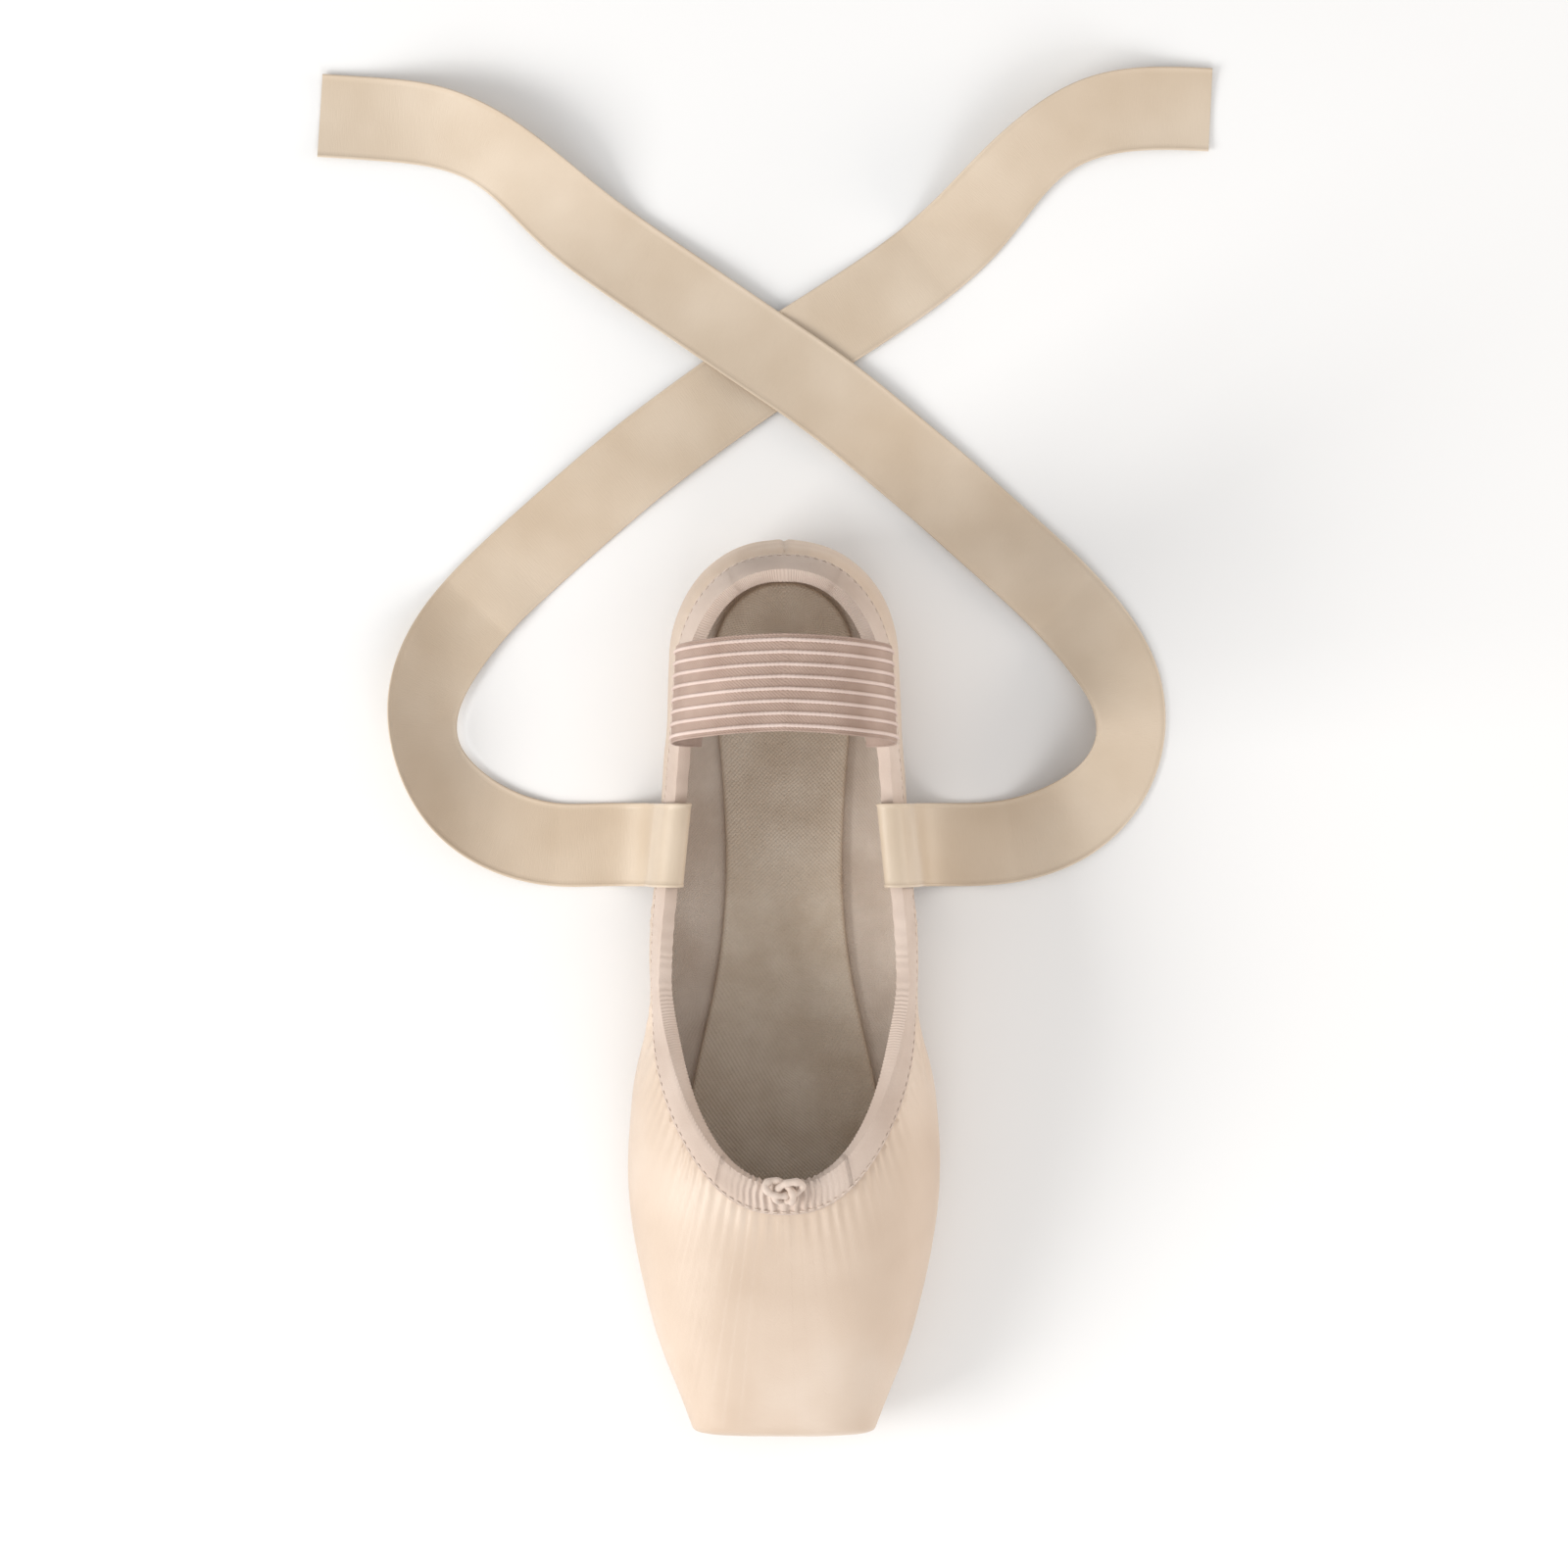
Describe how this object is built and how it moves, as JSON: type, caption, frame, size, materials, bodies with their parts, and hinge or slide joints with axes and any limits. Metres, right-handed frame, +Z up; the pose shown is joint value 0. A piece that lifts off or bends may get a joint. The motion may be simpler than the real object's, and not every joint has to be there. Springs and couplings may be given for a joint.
{
  "type": "pointe shoe",
  "caption": "Satin pointe shoe with a hard box and flat platform, open collar, narrow leather sole, drawstring binding, ankle elastic and loose satin ribbons.",
  "frame": {"origin": "on the floor, under the middle of the shoe's length and width, ribbons left out", "axes": "+X from the heel to the toe, +Y to the wearer's left, +Z up"},
  "size_m": [0.3604, 0.2363, 0.1046],
  "materials": {
    "satin": "glossy peach satin",
    "sole_leather": "matt suede leather",
    "sock_canvas": "matt cotton",
    "binding_tape": "matt ribbed tape",
    "elastic_net": "corded elastic net",
    "ribbon_satin": "soft satin ribbon"
  },
  "bodies": {
    "root": {"upper": "satin", "outsole": "sole_leather", "insole": "sock_canvas", "binding": "binding_tape", "drawstring_knot": "binding_tape", "ankle_elastic": "elastic_net", "ribbon_left": "ribbon_satin", "ribbon_right": "ribbon_satin"}
  },
  "joints": []
}
